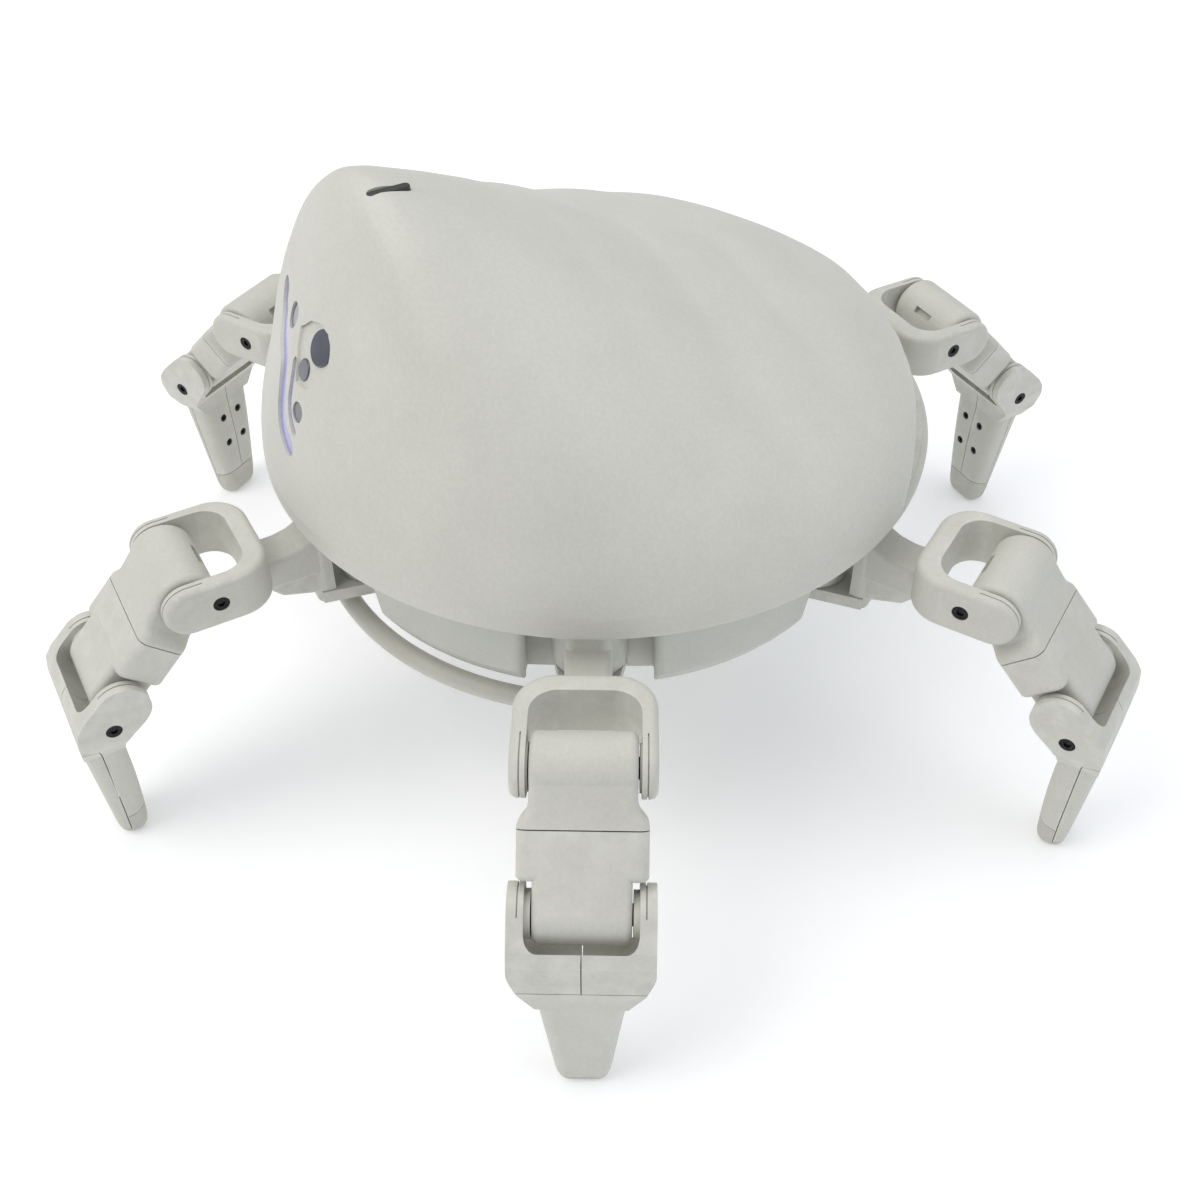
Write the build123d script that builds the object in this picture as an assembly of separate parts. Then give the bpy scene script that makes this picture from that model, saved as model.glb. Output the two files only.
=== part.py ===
from build123d import *
import math
import os

os.makedirs("parts", exist_ok=True)

# ---------------------------------------------------------------- dimensions
# All millimetres. +X is the front of the robot (its front leg), +Y its left,
# +Z up. The origin is on the floor, on the vertical axis of the round body.
# Six identical legs stand at 60 degree steps. A leg is modelled along +X
# (x = distance from the body axis, y = sideways, z = height) and turned.

LEGS = [("front", 0.0), ("left_front", 60.0), ("left_rear", 120.0),
        ("rear", 180.0), ("right_rear", 240.0), ("right_front", 300.0)]

# leg joints, in the leg's own plane
YAW_X = 82.0                     # vertical yaw axis of each leg
HIP_X, HIP_Z = 144.7, 95.2       # hip pitch axis
KNEE_X, KNEE_Z = 171.4, 67.4     # knee axis
SHAFT_R = 3.0                    # servo output shafts and idler pins
BORE_R = 3.05                    # bores that run on them

# coxa bracket
POST_X0, POST_X1 = 98.0, 103.5   # upright wall of the C-bracket
COXA_Z0, COXA_Z1 = 70.0, 107.0   # lower face and upper face of the C-bracket
LOW_T, TOP_T = 4.5, 3.3          # thickness of its two plates
ARM_HALF = 6.6                   # half width of the arm
YOKE_BACK, YOKE_IN = 118.0, 124.6
YOKE_HALF, YOKE_CLEAR = 19.6, 15.2
PADDLE_R = 8.2
SCREW_X, SCREW_Z = 136.0, 95.6   # side screws of the hip yoke

# femur
BARREL_R, BARREL_HALF = 9.6, 14.25
SHOULDER_U0, SHOULDER_U1 = 15.4, 29.0
SHOULDER_HALF, SHOULDER_H = 17.4, 15.8
KNEE_END_R, KNEE_END_HALF = 8.0, 13.1

# tibia
TPADDLE_R = 8.4
TYOKE_HALF, TYOKE_CLEAR = 19.6, 15.1
TPOCKET_R = 12.4
TSCREW_X, TSCREW_Z = 175.8, 60.9
WAIST_Z = 47.0

# body
HULL_TOP = 103.2
DECK_R = 95.0
HULL_BOTTOM = 64.0
BOSS_R = 11.5
SCOOP_R = 19.8
BAR_R, BAR_PATH_R, BAR_Z = 3.3, 92.5, 63.0

# head
HEAD_AZ = 1.5                    # rest azimuth of the head on its turntable
RIM_R, RIM_Z = 108.0, 108.0
LIP_Z0 = 105.4
WALL = 2.4
UNIT = 180.0
HEAD_PROFILE = [(0.6, 0.6), (0.5803, 0.7009), (0.505, 0.9077), (0.4359, 1.1018), (0.4127, 1.1335),
                (0.3873, 1.1432), (0.3536, 1.1359), (0.3035, 1.1149), (0.2585, 1.0945), (0.1738, 1.0528),
                (0.0811, 1.0039), (-0.0867, 0.9204), (-0.216, 0.875), (-0.3312, 0.8372), (-0.4287, 0.7898),
                (-0.5117, 0.7424), (-0.5661, 0.7011), (-0.592, 0.6401), (-0.6, 0.6)]
BUTTON_AT = (66.0, 4.6)


# ------------------------------------------------------------------ helpers
def out(name, shape):
    """Write one node."""
    export_step(shape, f"parts/{name}.step")


def first_valid(shape, edges, radii):
    """Round the edges with the largest radius that gives a sound solid."""
    for rad in radii:
        try:
            got = shape.fillet(rad, edges)
            if got.is_valid and got.volume > 0:
                return got
        except Exception:
            pass
    return shape


def as_solids(shape):
    return list(shape.solids())


def one(shape):
    s = sorted(shape.solids(), key=lambda q: q.volume)
    return s[-1]


def prism_xz(points, y0, y1):
    """A prism whose outline is in the XZ plane."""
    f = make_face(Polyline(*[(x, 0, z) for x, z in points], close=True))
    return extrude(f, amount=y1 - y0, dir=(0, 1, 0)).moved(Location((0, y0, 0)))


def cyl_y(x, z, r, y0, y1):
    return Cylinder(r, y1 - y0).moved(Location((x, (y0 + y1) / 2, z), (90, 0, 0)))


def cyl_z(x, y, r, z0, z1):
    return Cylinder(r, z1 - z0).moved(Location((x, y, (z0 + z1) / 2)))


def box(x0, x1, y0, y1, z0, z1):
    return Box(x1 - x0, y1 - y0, z1 - z0).moved(Location(((x0 + x1) / 2, (y0 + y1) / 2, (z0 + z1) / 2)))


def rect_wire(x, half_y, half_z, r, zc=0.0):
    """Rounded rectangle standing across the X axis."""
    w = Plane(origin=(x, 0, zc), x_dir=(0, 1, 0), z_dir=(1, 0, 0)) * RectangleRounded(2 * half_y, 2 * half_z, r)
    return w


# ------------------------------------------------------------- head surface
def pchip(xs, ys):
    """Monotone cubic through the points, as a function."""
    n = len(xs)
    h = [xs[i + 1] - xs[i] for i in range(n - 1)]
    d = [(ys[i + 1] - ys[i]) / h[i] for i in range(n - 1)]
    m = [0.0] * n
    for i in range(1, n - 1):
        if d[i - 1] * d[i] > 0:
            w1, w2 = 2 * h[i] + h[i - 1], h[i] + 2 * h[i - 1]
            m[i] = (w1 + w2) / (w1 / d[i - 1] + w2 / d[i])

    def end(h0, h1, d0, d1):
        e = ((2 * h0 + h1) * d0 - h0 * d1) / (h0 + h1)
        if e * d0 <= 0:
            return 0.0
        if d0 * d1 <= 0 and abs(e) > 3 * abs(d0):
            return 3 * d0
        return e
    m[0] = end(h[0], h[1], d[0], d[1])
    m[-1] = end(h[-1], h[-2], d[-1], d[-2])

    def f(x):
        x = min(max(x, xs[0]), xs[-1])
        i = 0
        while i < n - 2 and x > xs[i + 1]:
            i += 1
        t = (x - xs[i]) / h[i]
        return ((1 + 2 * t) * (1 - t) ** 2 * ys[i] + t * (1 - t) ** 2 * h[i] * m[i]
                + t * t * (3 - 2 * t) * ys[i + 1] + t * t * (t - 1) * h[i] * m[i + 1])
    return f


_ph = [math.atan2(z - 0.6, s) for s, z in HEAD_PROFILE]
_ph[0], _ph[-1] = 0.0, math.pi
_rr = [math.hypot(s, z - 0.6) for s, z in HEAD_PROFILE]
_rad = pchip(_ph, _rr)
_tab = sorted((_rad(math.pi * k / 1440) * math.cos(math.pi * k / 1440),
               _rad(math.pi * k / 1440) * math.sin(math.pi * k / 1440)) for k in range(1441))


def centre_height(s):
    """Height of the head above its rim on the centre plane."""
    lo, hi = 0, len(_tab) - 1
    if s <= _tab[0][0] or s >= _tab[-1][0]:
        return 0.0
    while hi - lo > 1:
        mid = (lo + hi) // 2
        if _tab[mid][0] <= s:
            lo = mid
        else:
            hi = mid
    a, b = _tab[lo], _tab[hi]
    t = (s - a[0]) / max(b[0] - a[0], 1e-12)
    return a[1] + t * (b[1] - a[1])


def head_z(x, y):
    """Outer surface of the head, in millimetres above the floor."""
    s, l = x / UNIT, y / UNIT
    w = min(max((s + 0.6) / 1.2, 0), 1)
    q = 0.34 * (1 - w) ** 2 + 2 * 0.60 * w * (1 - w) + 0.60 * w * w
    p = 1.60 * (1 - w) + 1.52 * w
    lim = math.sqrt(max(0.36 - s * s, 1e-9))
    t = min(abs(l) / lim, 1.0)
    t = math.sqrt(t * t + 0.0016) - 0.04 * (1 - t) if t < 1 else 1.0
    t = min(max(t, 0.0), 1.0)
    return UNIT * (0.6 + centre_height(s) * (1 - t ** p) ** q)


SLICES = [108.0, 110.0, 112.5, 115.5, 119.0, 123.0, 127.5, 133.0, 139.5, 147.0, 155.0, 163.5, 172.0, 180.5,
          188.0, 194.5, 199.5, 203.0, 205.0]
RING_N = 36


def slice_points(z0, inset):
    """Closed outline of the head surface at one height, moved inwards by inset."""
    target = z0
    inside = [s for s, h in _tab if UNIT * (0.6 + h) >= target]
    lo_s, hi_s = min(inside) * UNIT, max(inside) * UNIT
    if z0 <= RIM_Z + 0.01:
        lo_s, hi_s = -RIM_R, RIM_R
    c = 0.5 * (lo_s + hi_s) if z0 < 190 else 0.5 * (lo_s + hi_s) + 0.0
    pts = []
    for k in range(RING_N):
        a = 2 * math.pi * k / RING_N
        ux, uy = math.cos(a), math.sin(a)
        # distance to the rim circle along this direction
        far = -c * ux + math.sqrt(max(c * c * ux * ux - c * c + RIM_R * RIM_R, 0.0))
        if z0 <= RIM_Z + 0.01:
            r = far
        else:
            lo, hi = 0.0, far
            for _ in range(40):
                mid = 0.5 * (lo + hi)
                if head_z(c + mid * ux, mid * uy) >= z0:
                    lo = mid
                else:
                    hi = mid
            r = 0.5 * (lo + hi)
        pts.append((c + r * ux, r * uy))
    if inset > 0:
        res = []
        n = len(pts)
        for k in range(n):
            (x0, y0), (x1, y1) = pts[k - 1], pts[(k + 1) % n]
            tx, ty = x1 - x0, y1 - y0
            m = math.hypot(tx, ty)
            res.append((pts[k][0] - ty / m * inset, pts[k][1] + tx / m * inset))
        pts = res
    return pts


def head_solid(inset):
    """Closed dome under the head surface; its skin is moved inwards by inset."""
    wires = []
    low = LIP_Z0 if inset == 0 else LIP_Z0 - 1.5
    for z0 in [low, low + 1.3] + SLICES:
        k = min(max((z0 - RIM_Z) / 22.0, 0.0), 1.0)
        k = k * k * (3 - 2 * k)
        pts = slice_points(max(z0, RIM_Z), inset * (1 - 0.25 * k))
        wires.append(Wire([Edge.make_spline([Vector(x, y, z0 - 0.8 * inset * k) for x, y in pts], periodic=True)]))
    return Solid.make_loft(wires, ruled=False)


# ----------------------------------------------------------------- one leg
def make_coxa():
    """C-bracket on the yaw axis, arm and hip yoke, one moulding."""
    def plate(z0, z1):
        sk = make_hull([*Circle(11.0).moved(Location((YAW_X, 0, 0))).edges(),
                        *Rectangle(6, 2 * 7.0).moved(Location((POST_X1 - 4.0, 0, 0))).edges()])
        return extrude(sk, amount=z1 - z0).moved(Location((0, 0, z0)))
    low = plate(COXA_Z0, COXA_Z0 + LOW_T)
    top = plate(COXA_Z1 - TOP_T, COXA_Z1)
    post = box(POST_X0, POST_X1, -7.0, 7.0, COXA_Z0, COXA_Z1)
    post = first_valid(post, post.edges().filter_by(Axis.Z).group_by(Axis.X)[-1], [3.2, 2.5])
    cbr = low + top + post
    # arm with a saddle-shaped top and a slung belly below
    arm = prism_xz([(100, 98.5), (104.0, 96.0), (107.5, 94.2), (112.0, 93.2), (121.0, 93.0), (121.0, 84.5),
                    (119.0, 82.0), (100, 82.0)], -ARM_HALF, ARM_HALF)
    arm = first_valid(arm, arm.edges().filter_by(lambda e: abs(e.center().Y) > ARM_HALF - 0.1 and e.center().X > 103), [1.6, 1.0])
    belly = prism_xz([(101.0, 83.5), (101.0, 76.0), (104.5, 73.4), (114.5, 76.6), (117.6, 80.0), (117.6, 84.0)], -5.2, 5.2)
    belly = first_valid(belly, belly.edges().filter_by(lambda e: e.center().Z < 82.5 and e.center().X > 101.5), [1.5, 1.0])
    # hip yoke: a U in plan, its arms ending round the hip axis
    u_out = Rectangle(HIP_X + 14 - YOKE_BACK, 2 * YOKE_HALF).moved(Location(((HIP_X + 14 + YOKE_BACK) / 2, 0, 0)))
    u_out = fillet(u_out.vertices().group_by(Axis.X)[0], 11.5)
    u_in = Rectangle(HIP_X + 20 - YOKE_IN, 2 * YOKE_CLEAR).moved(Location(((HIP_X + 20 + YOKE_IN) / 2, 0, 0)))
    u_in = fillet(u_in.vertices().group_by(Axis.X)[0], 8.0)
    u = extrude(u_out - u_in, amount=30).moved(Location((0, 0, 80)))
    side = prism_xz([(YOKE_BACK - 1, HIP_Z - PADDLE_R), (HIP_X, HIP_Z - PADDLE_R), (HIP_X, HIP_Z + PADDLE_R),
                     (YOKE_BACK - 1, HIP_Z + PADDLE_R)], -25, 25) + cyl_y(HIP_X, HIP_Z, PADDLE_R, -25, 25)
    yoke = one(u & side)
    yoke = first_valid(yoke, yoke.edges().filter_by(lambda e: e.bounding_box().size.Y < 30 and (
        abs(e.center().Y) > YOKE_HALF - 0.2 or e.center().X < YOKE_BACK + 5.5)), [2.2, 1.6, 1.0])
    body = cbr + arm + belly + yoke
    # thin joint line round the two-layer ends of the arms
    for s in (-1, 1):
        y0, y1 = (16.6, 17.0) if s > 0 else (-17.0, -16.6)
        ring = cyl_y(HIP_X, HIP_Z, PADDLE_R + 3, y0, y1) - cyl_y(HIP_X, HIP_Z, PADDLE_R - 0.7, y0 - 1, y1 + 1)
        ring = ring - box(HIP_X - 40, HIP_X, -30, 30, HIP_Z - PADDLE_R + 0.7, HIP_Z + PADDLE_R - 0.7)
        ring = ring & box(HIP_X - 5, HIP_X + 20, -30, 30, 70, 120)
        body = body - ring
        body = body + cyl_y(HIP_X, HIP_Z, 6.6, min(s * 14.65, s * 15.5), max(s * 14.65, s * 15.5))
        body = body - cyl_y(SCREW_X, SCREW_Z, 2.55, min(s * 18.1, s * 21), max(s * 18.1, s * 21))
        body = body - cyl_y(SCREW_X, SCREW_Z, 1.3, min(s * 15.8, s * 19), max(s * 15.8, s * 19))
    body = body - cyl_y(HIP_X, HIP_Z, BORE_R, -18.0, 18.0)
    body = body - cyl_z(YAW_X, 0, BORE_R, COXA_Z0 - 1, COXA_Z1 + 1)
    return one(body)


def make_screw(x, z, s, head_r, y_in, y_face, sink, shank_r):
    """Button-head socket screw along Y, s is its side."""
    h0, h1 = y_face - sink, y_face - 0.25
    head = cyl_y(x, z, head_r, min(s * h0, s * h1), max(s * h0, s * h1))
    shank = cyl_y(x, z, shank_r, min(s * y_in, s * (h0 + 0.2)), max(s * y_in, s * (h0 + 0.2)))
    sock = extrude(RegularPolygon(head_r * 0.48, 6), amount=3)
    sock = sock.moved(Location((x, s * (h1 - 0.6), z), (-90 * s, 0, 0)))
    return one((head + shank) - sock)


def make_femur():
    """Femur in its own frame: X from hip to knee, Y sideways, Z across."""
    length = math.hypot(KNEE_X - HIP_X, KNEE_Z - HIP_Z)
    barrel = cyl_y(0, 0, BARREL_R, -BARREL_HALF, BARREL_HALF)
    neck = loft([rect_wire(1.0, BARREL_HALF, 9.0, 2.0), rect_wire(7.0, BARREL_HALF, 8.5, 2.2),
                 rect_wire(9.5, BARREL_HALF + 0.25, 8.2, 2.4)], ruled=False)
    flare = loft([rect_wire(9.5, BARREL_HALF + 0.25, 8.2, 2.4), rect_wire(11.6, BARREL_HALF + 1.2, 8.0, 2.6),
                  rect_wire(13.4, SHOULDER_HALF - 0.5, SHOULDER_H / 2, 2.8),
                  rect_wire(SHOULDER_U0, SHOULDER_HALF, SHOULDER_H / 2, 3.0)], ruled=False)
    barrel = first_valid(one(barrel), one(barrel).edges().filter_by(GeomType.CIRCLE), [2.2, 1.5])
    upper = one(barrel + neck + flare)
    low = extrude(rect_wire(SHOULDER_U0 + 0.35, SHOULDER_HALF, SHOULDER_H / 2, 3.0), amount=SHOULDER_U1 - SHOULDER_U0 - 0.35, dir=(1, 0, 0))
    low = one(low)
    low = first_valid(low, low.edges().group_by(Axis.X)[-1], [1.6, 1.0])
    end = extrude(rect_wire(SHOULDER_U1 - 3, KNEE_END_HALF, KNEE_END_R - 0.05, 2.0), amount=length - SHOULDER_U1 + 3, dir=(1, 0, 0))
    tip = one(cyl_y(length, 0, KNEE_END_R, -KNEE_END_HALF, KNEE_END_HALF))
    tip = first_valid(tip, tip.edges().filter_by(GeomType.CIRCLE), [2.0, 1.4])
    lower = one(low + end + tip)
    # seats for the two servos
    hip_room = box(-6.0, 13.5, -12.2, 12.2, -6.0, 6.0)
    knee_room = box(17.4, length + 3.8, -11.3, 11.3, -5.8, 5.8)
    upper = one(upper - hip_room - cyl_y(0, 0, SHAFT_R + 0.25, -16, 16))
    lower = one(lower - knee_room - cyl_y(length, 0, SHAFT_R + 0.25, -16, 16))
    # small cable slot on the inner side of the barrel
    upper = one(upper - box(-9.5, -7.2, -4.2, 4.2, -3.6, 1.0))
    # servos with their output shaft and idler pin
    hip_servo = one(box(-5.8, 13.3, -12.0, 12.0, -5.8, 5.8))
    hip_servo = first_valid(hip_servo, hip_servo.edges(), [0.8])
    hip_servo = one(hip_servo + cyl_y(0, 0, SHAFT_R, -18.0, 18.0))
    knee_servo = one(box(17.7, length + 3.6, -11.1, 11.1, -5.6, 5.6))
    knee_servo = first_valid(knee_servo, knee_servo.edges(), [0.8])
    knee_servo = one(knee_servo + cyl_y(length, 0, SHAFT_R, -18.0, 18.0))
    ang = math.degrees(math.atan2(HIP_Z - KNEE_Z, KNEE_X - HIP_X))
    loc = Location((HIP_X, 0, HIP_Z), (0, ang, 0))
    return [upper.moved(loc), lower.moved(loc)], [hip_servo.moved(loc), knee_servo.moved(loc)]


def foot_section(z, x0, x1, half, r):
    w = RectangleRounded(x1 - x0, 2 * half, r)
    return Plane(origin=((x0 + x1) / 2, 0, z)) * w


def make_tibia():
    """Tibia: two mirrored frame halves, a front cover and a rubber foot."""
    c, s = math.cos(math.radians(-43)), math.sin(math.radians(-43))
    nx, nz = -s, c
    pts = [(KNEE_X + nx * TPADDLE_R, KNEE_Z + nz * TPADDLE_R), (183.6, 67.4), (186.2, 63.6), (187.0, 58.0),
           (186.7, WAIST_Z - 1.5), (173.9, WAIST_Z - 1.5), (173.4, 51.5), (170.6, 55.4),
           (KNEE_X - nx * TPADDLE_R, KNEE_Z - nz * TPADDLE_R)]
    side = prism_xz(pts, -25, 25) + cyl_y(KNEE_X, KNEE_Z, TPADDLE_R, -25, 25)
    front = make_face(Polyline((0, -TYOKE_HALF, 90), (0, -TYOKE_HALF, 60.5), (0, -17.2, 52.5), (0, -12.5, WAIST_Z - 1.5),
                               (0, 12.5, WAIST_Z - 1.5), (0, 17.2, 52.5), (0, TYOKE_HALF, 60.5), (0, TYOKE_HALF, 90), close=True))
    front = fillet(front.vertices().filter_by(lambda v: 50 < v.Z < 62), 5.0)
    front = extrude(front, amount=60, dir=(1, 0, 0)).moved(Location((150, 0, 0)))
    yoke = one(side & front)
    pocket = cyl_y(KNEE_X, KNEE_Z, TPOCKET_R, -TYOKE_CLEAR, TYOKE_CLEAR)
    pocket = one(pocket)
    pocket = first_valid(pocket, pocket.edges().filter_by(GeomType.CIRCLE), [3.5, 2.5])
    pocket = pocket + cyl_y(KNEE_X, KNEE_Z, TPADDLE_R + 1.0, -TYOKE_CLEAR, TYOKE_CLEAR)
    yoke = one(yoke)
    yoke = first_valid(yoke, yoke.edges().filter_by(lambda e: abs(e.center().Y) > TYOKE_HALF - 2.6 and e.center().Z > 50), [2.2, 1.6, 1.0])
    yoke = yoke - pocket
    foot = loft([foot_section(WAIST_Z - 1.4, 173.9, 186.7, 12.5, 4.6), foot_section(34.0, 173.3, 185.8, 11.3, 4.6),
                 foot_section(18.0, 173.2, 184.6, 9.6, 4.4), foot_section(6.0, 173.6, 183.6, 8.3, 4.0)], ruled=False)
    toe = loft([foot_section(6.0, 173.6, 183.6, 8.3, 4.0), foot_section(2.6, 174.0, 183.1, 7.7, 3.8),
                foot_section(0.7, 174.9, 182.2, 6.7, 3.2), foot_section(0.0, 176.0, 181.1, 5.4, 2.4)], ruled=False)
    whole = one(yoke + foot + toe)
    for sg in (-1, 1):
        whole = whole + cyl_y(KNEE_X, KNEE_Z, 6.6, min(sg * 13.45, sg * 15.5), max(sg * 13.45, sg * 15.5))
        y0, y1 = (16.6, 17.0) if sg > 0 else (-17.0, -16.6)
        ring = cyl_y(KNEE_X, KNEE_Z, TPADDLE_R + 3, y0, y1) - cyl_y(KNEE_X, KNEE_Z, TPADDLE_R - 0.7, y0 - 1, y1 + 1)
        ring = ring & prism_xz([(KNEE_X + nx * 20, KNEE_Z + nz * 20), (KNEE_X - nx * 20, KNEE_Z - nz * 20),
                                (KNEE_X - nx * 20 - c * 20, KNEE_Z - nz * 20 - s * 20),
                                (KNEE_X + nx * 20 - c * 20, KNEE_Z + nz * 20 - s * 20)], -30, 30)
        whole = whole - ring
        whole = whole - cyl_y(TSCREW_X, TSCREW_Z, 2.55, min(sg * 18.1, sg * 21), max(sg * 18.1, sg * 21))
        whole = whole - cyl_y(TSCREW_X, TSCREW_Z, 1.3, min(sg * 15.8, sg * 19), max(sg * 15.8, sg * 19))
    whole = one(whole - cyl_y(KNEE_X, KNEE_Z, BORE_R, -18.0, 18.0))
    # front cover: the outer face of the shin, with side seams
    gap = 0.25
    cov_pts = [(181.9, 51.2), (195, 56.5), (195, 3.2), (180.2, 3.2), (180.4, 16.0), (181.4, 46.5)]
    cover = one(whole & prism_xz(cov_pts, -30, 30))
    cut_pts = [(181.9 - gap, 51.2 + gap), (195, 56.5 + gap), (195, 3.2 - gap), (180.2 - gap, 3.2 - gap),
               (180.4 - gap, 16.0), (181.4 - gap, 46.5)]
    rest = one(whole - prism_xz(cut_pts, -30, 30))
    # rubber foot: below a seam that slopes up towards the back
    pad_cut = [(168, 13.2), (180.6, 9.6), (186, 8.0), (200, 8.0), (200, -2), (168, -2)]
    pad = one(rest & prism_xz(pad_cut, -30, 30))
    pad_gap = [(168, 13.2 + gap), (180.6, 9.6 + gap), (186, 8.0 + gap), (200, 8.0 + gap), (200, -2), (168, -2)]
    rest = one(rest - prism_xz(pad_gap, -30, 30))
    # four small screws in the back of the shin
    screws = []
    for zz, xx in ((38.5, 173.45), (26.5, 173.2)):
        for yy in (-4.2, 4.2):
            rest = rest - Cylinder(1.6, 4.0).moved(Location((xx - 0.6, yy, zz), (0, 90, 0)))
            rest = rest - Cylinder(0.8, 8.0).moved(Location((xx + 4.0, yy, zz), (0, 90, 0)))
            hd = Cylinder(1.5, 1.1).moved(Location((xx + 0.85, yy, zz), (0, 90, 0)))
            sh = Cylinder(0.8, 5.0).moved(Location((xx + 3.7, yy, zz), (0, 90, 0)))
            sk = extrude(RegularPolygon(0.75, 6), amount=2).moved(Location((xx + 0.85, yy, zz), (0, -90, 0)))
            screws.append(one((hd + sh) - sk))
    # centre seam
    halves = one(rest) - box(150, 200, -0.14, 0.14, -5, 100)
    halves = sorted(as_solids(halves), key=lambda q: -q.volume)[:2]
    return halves, cover, pad, screws


print("leg parts")
coxa = make_coxa()
coxa_screws = [make_screw(SCREW_X, SCREW_Z, s, 2.5, 15.9, YOKE_HALF, 1.5, 1.3) for s in (-1, 1)]
femur_case, femur_servos = make_femur()
tibia_frame, shin_cover, foot_pad, tibia_screws = make_tibia()
tibia_screws += [make_screw(TSCREW_X, TSCREW_Z, s, 2.5, 15.9, TYOKE_HALF, 1.5, 1.3) for s in (-1, 1)]

for leg, az in LEGS:
    turn = Location((0, 0, 0), (0, 0, az))
    out(f"{leg}_coxa_bracket", coxa.moved(turn))
    out(f"{leg}_hip_screws", Compound([q.moved(turn) for q in coxa_screws]))
    out(f"{leg}_femur_case", Compound([q.moved(turn) for q in femur_case]))
    out(f"{leg}_femur_servos", Compound([q.moved(turn) for q in femur_servos]))
    out(f"{leg}_tibia_frame", Compound([q.moved(turn) for q in tibia_frame]))
    out(f"{leg}_shin_cover", shin_cover.moved(turn))
    out(f"{leg}_foot_pad", foot_pad.moved(turn))
    out(f"{leg}_tibia_screws", Compound([q.moved(turn) for q in tibia_screws]))

# ------------------------------------------------------------------- body
print("body parts")
prof = make_face(Polyline((0, 0, HULL_BOTTOM), (70, 0, HULL_BOTTOM), (84.5, 0, 65.6), (89.5, 0, 68.2), (91.6, 0, 72.5),
                          (DECK_R - 1.4, 0, 88.0), (DECK_R, 0, 99.0), (DECK_R - 1.0, 0, HULL_TOP), (0, 0, HULL_TOP), close=True))
hull = one(revolve(prof, Axis.Z, 360))
room = cyl_z(0, 0, 60.0, HULL_BOTTOM - 1, HULL_TOP - 3.0)
hull = hull - room
for leg, az in LEGS:
    turn = Location((0, 0, 0), (0, 0, az))
    scoop = cyl_z(YAW_X, 0, SCOOP_R, 50, 120) - box(0, YAW_X - 3.5, -40, 40, 40, 130)
    under = cyl_z(YAW_X, 0, BOSS_R + 0.4, 50, COXA_Z0 + LOW_T + 0.35)
    boss = cyl_z(YAW_X, 0, BOSS_R, COXA_Z0 + LOW_T + 0.35, HULL_TOP)
    hull = hull - scoop.moved(turn)
    hull = hull + boss.moved(turn)
    hull = hull - under.moved(turn)
    servo_room = box(63.0, 90.4, -6.3, 6.3, 78.0, HULL_TOP - 2.0)
    hull = hull - servo_room.moved(turn)
    hull = hull - cyl_z(YAW_X, 0, SHAFT_R + 0.25, 60, 120).moved(turn)
    # raised panel edge lines on the outside of each block between the legs
hull = one(hull)
# chamfered side edges of the outer panels
hull = first_valid(hull, hull.edges().filter_by(lambda e: math.hypot(e.center().X, e.center().Y) > 91.6 and e.bounding_box().size.Z > 12), [2.6, 2.0, 1.2])

servos = []
for leg, az in LEGS:
    turn = Location((0, 0, 0), (0, 0, az))
    b = one(box(63.3, 90.1, -6.0, 6.0, 78.3, HULL_TOP - 2.3))
    b = first_valid(b, b.edges(), [0.8])
    b = one(b + cyl_z(YAW_X, 0, SHAFT_R, COXA_Z0 + 0.6, COXA_Z1 - 0.5))
    servos.append(b.moved(turn))
out("yaw_servos", Compound(servos))

cover = Cylinder(66.0, 3.0).moved(Location((0, 0, HULL_BOTTOM - 1.5)))
cover = one(cover)
cover = first_valid(cover, cover.edges().group_by(Axis.Z)[0], [2.0])
cover = cover + (cyl_z(0, 0, 59.7, HULL_BOTTOM - 0.5, HULL_BOTTOM + 2.0) - cyl_z(0, 0, 57.0, HULL_BOTTOM, HULL_BOTTOM + 3))
for k in range(6):
    a = math.radians(30 + 60 * k)
    cover = cover - cyl_z(52 * math.cos(a), 52 * math.sin(a), 1.6, 55, 70)
out("base_cover", one(cover))

batt = one(box(-38, 38, -26, 26, HULL_BOTTOM + 0.4, HULL_BOTTOM + 18))
batt = first_valid(batt, batt.edges(), [2.0])
out("battery_pack", batt)

board = box(-40, 40, -30, 30, 92.0, 93.6) + box(-12, 12, -12, 12, 93.4, 96.0) + box(22, 36, -20, 20, 93.4, 98.5) \
    + box(-36, -24, -24, -8, 93.4, 97.0) + box(-36, -24, 8, 24, 93.4, 97.0)
for sx in (-1, 1):
    for sy in (-1, 1):
        board = board + cyl_z(sx * 36, sy * 26, 2.5, 93.0, HULL_TOP - 3.0)
out("control_board", one(board))

# carry bar: a round rod on an arc under the left front of the body, ends turned in and up
a0, a1 = math.radians(-7.0), math.radians(57.0)
p0 = Vector(BAR_PATH_R * math.cos(a0), BAR_PATH_R * math.sin(a0), BAR_Z)
p1 = Vector(BAR_PATH_R * math.cos(a1), BAR_PATH_R * math.sin(a1), BAR_Z)
am = (a0 + a1) / 2
pm = Vector(BAR_PATH_R * math.cos(am), BAR_PATH_R * math.sin(am), BAR_Z)
arc = ThreePointArc(p0, pm, p1)


def tail(p, ang, sgn):
    """Quarter bend from the arc towards the body, then straight in."""
    t = Vector(-math.sin(ang) * sgn, math.cos(ang) * sgn, 0)
    n = Vector(-math.cos(ang), -math.sin(ang), 0)
    rb = 9.0
    mid = p + t * (rb * math.sin(math.pi / 4)) + n * (rb * (1 - math.cos(math.pi / 4)))
    end = p + t * rb + n * rb
    return mid, end, n


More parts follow.
